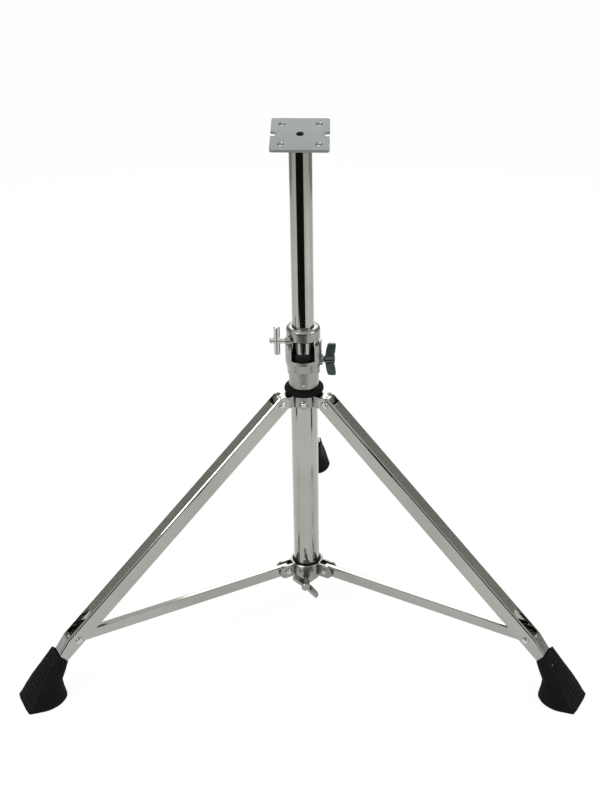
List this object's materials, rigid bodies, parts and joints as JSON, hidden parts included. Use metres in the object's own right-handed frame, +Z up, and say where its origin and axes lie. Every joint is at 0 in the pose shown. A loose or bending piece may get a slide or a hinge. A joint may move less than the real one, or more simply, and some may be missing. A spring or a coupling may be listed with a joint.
{
  "type": "conga stand",
  "caption": "Folding tripod stand for a single conga drum: channel legs braced to a sliding collar, and a telescoping mast with a slanted mounting plate.",
  "frame": {"origin": "on the floor under the middle of the footprint; the mast's axis stands 85.0 mm in front of it", "axes": "+Z up along the mast, +Y towards the rear leg, +X to the right as seen from the front"},
  "size_m": [0.668, 0.5794, 0.6325],
  "materials": {
    "chrome": "polished chrome plating",
    "plate_zinc": "satin plated steel",
    "cast_chrome": "chrome over a cast surface",
    "steel": "bright steel",
    "rubber": "matt black rubber",
    "nylon": "smooth black nylon"
  },
  "bodies": {
    "stand_base": {"base_tube": "chrome", "leg_spider": "cast_chrome", "spider_screw": "steel", "rubber_ring": "rubber", "height_clamp": "cast_chrome", "clamp_pin": "steel"},
    "collar": {"sliding_collar": "cast_chrome", "collar_liner": "nylon", "collar_rivet_1": "steel", "collar_rivet_2": "steel", "collar_rivet_3": "steel"},
    "swivel": {"clamp_bushing": "nylon"},
    "mast": {"mast_tube": "chrome", "mounting_plate": "plate_zinc"},
    "lock_ring": {"memory_lock": "cast_chrome"},
    "lock_bolt": {"memory_lock_bolt": "steel"},
    "clamp_bolt": {"clamp_wing_bolt": "cast_chrome"},
    "collar_bolt": {"collar_wing_bolt": "cast_chrome"},
    "brace_arm_1": {"brace_1": "chrome"},
    "leg_arm_1": {"leg_1": "chrome", "foot_1": "rubber", "brace_rivet_1": "steel", "leg_rivet_1_left": "steel", "leg_rivet_1_right": "steel"},
    "brace_arm_2": {"brace_2": "chrome"},
    "leg_arm_2": {"leg_2": "chrome", "foot_2": "rubber", "brace_rivet_2": "steel", "leg_rivet_2_left": "steel", "leg_rivet_2_right": "steel"},
    "brace_arm_3": {"brace_3": "chrome"},
    "leg_arm_3": {"leg_3": "chrome", "foot_3": "rubber", "brace_rivet_3": "steel", "leg_rivet_3_left": "steel", "leg_rivet_3_right": "steel"}
  },
  "joints": [
    {"name": "collar_slide", "type": "slide", "parent": "stand_base", "child": "collar", "axis": [0, 0, 1], "range_m": [0, 0.15344]},
    {"name": "brace_hinge_1", "type": "hinge", "parent": "collar", "child": "brace_arm_1", "pos_m": [0, -0.05577, 0.0696], "axis": [-1, 0, 0], "range_deg": [0, 80.94]},
    {"name": "leg_hinge_1", "type": "hinge", "parent": "brace_arm_1", "child": "leg_arm_1", "pos_m": [0, 0.21839, 0.07309], "axis": [-1, 0, 0], "range_deg": [-38.94, 0]},
    {"name": "brace_hinge_2", "type": "hinge", "parent": "collar", "child": "brace_arm_2", "pos_m": [-0.02529, -0.09957, 0.0696], "axis": [0.5, -0.866, 0], "range_deg": [0, 80.94]},
    {"name": "leg_hinge_2", "type": "hinge", "parent": "brace_arm_2", "child": "leg_arm_2", "pos_m": [-0.26271, -0.23664, 0.07309], "axis": [0.5, -0.866, 0], "range_deg": [-38.94, 0]},
    {"name": "brace_hinge_3", "type": "hinge", "parent": "collar", "child": "brace_arm_3", "pos_m": [0.02529, -0.09957, 0.0696], "axis": [0.5, 0.866, 0], "range_deg": [0, 80.94]},
    {"name": "leg_hinge_3", "type": "hinge", "parent": "brace_arm_3", "child": "leg_arm_3", "pos_m": [0.26271, -0.23664, 0.07309], "axis": [0.5, 0.866, 0], "range_deg": [-38.94, 0]},
    {"name": "mast_turn", "type": "hinge", "parent": "stand_base", "child": "swivel", "pos_m": [0, -0.08496, 0.365], "axis": [0, 0, 1], "continuous": true},
    {"name": "mast_slide", "type": "slide", "parent": "swivel", "child": "mast", "axis": [0, 0, 1], "range_m": [0, 0.23]},
    {"name": "lock_slide", "type": "slide", "parent": "stand_base", "child": "lock_ring", "axis": [0, 0, 1], "range_m": [0, 0.18]},
    {"name": "lock_bolt_turn", "type": "hinge", "parent": "lock_ring", "child": "lock_bolt", "pos_m": [-0.0296, -0.09896, 0.3883], "axis": [1, 0, 0], "continuous": true},
    {"name": "clamp_bolt_turn", "type": "hinge", "parent": "stand_base", "child": "clamp_bolt", "pos_m": [0.03, -0.08496, 0.358], "axis": [1, 0, 0], "continuous": true},
    {"name": "collar_bolt_turn", "type": "hinge", "parent": "collar", "child": "collar_bolt", "pos_m": [0, -0.12996, 0.066], "axis": [0, 1, 0], "continuous": true}
  ],
  "couplings": [
    {"joint": "brace_hinge_1", "follows": "collar_slide", "rad_per_m": 9.2057},
    {"joint": "leg_hinge_1", "follows": "collar_slide", "rad_per_m": -4.4283},
    {"joint": "brace_hinge_2", "follows": "collar_slide", "rad_per_m": 9.2057},
    {"joint": "leg_hinge_2", "follows": "collar_slide", "rad_per_m": -4.4283},
    {"joint": "brace_hinge_3", "follows": "collar_slide", "rad_per_m": 9.2057},
    {"joint": "leg_hinge_3", "follows": "collar_slide", "rad_per_m": -4.4283}
  ]
}
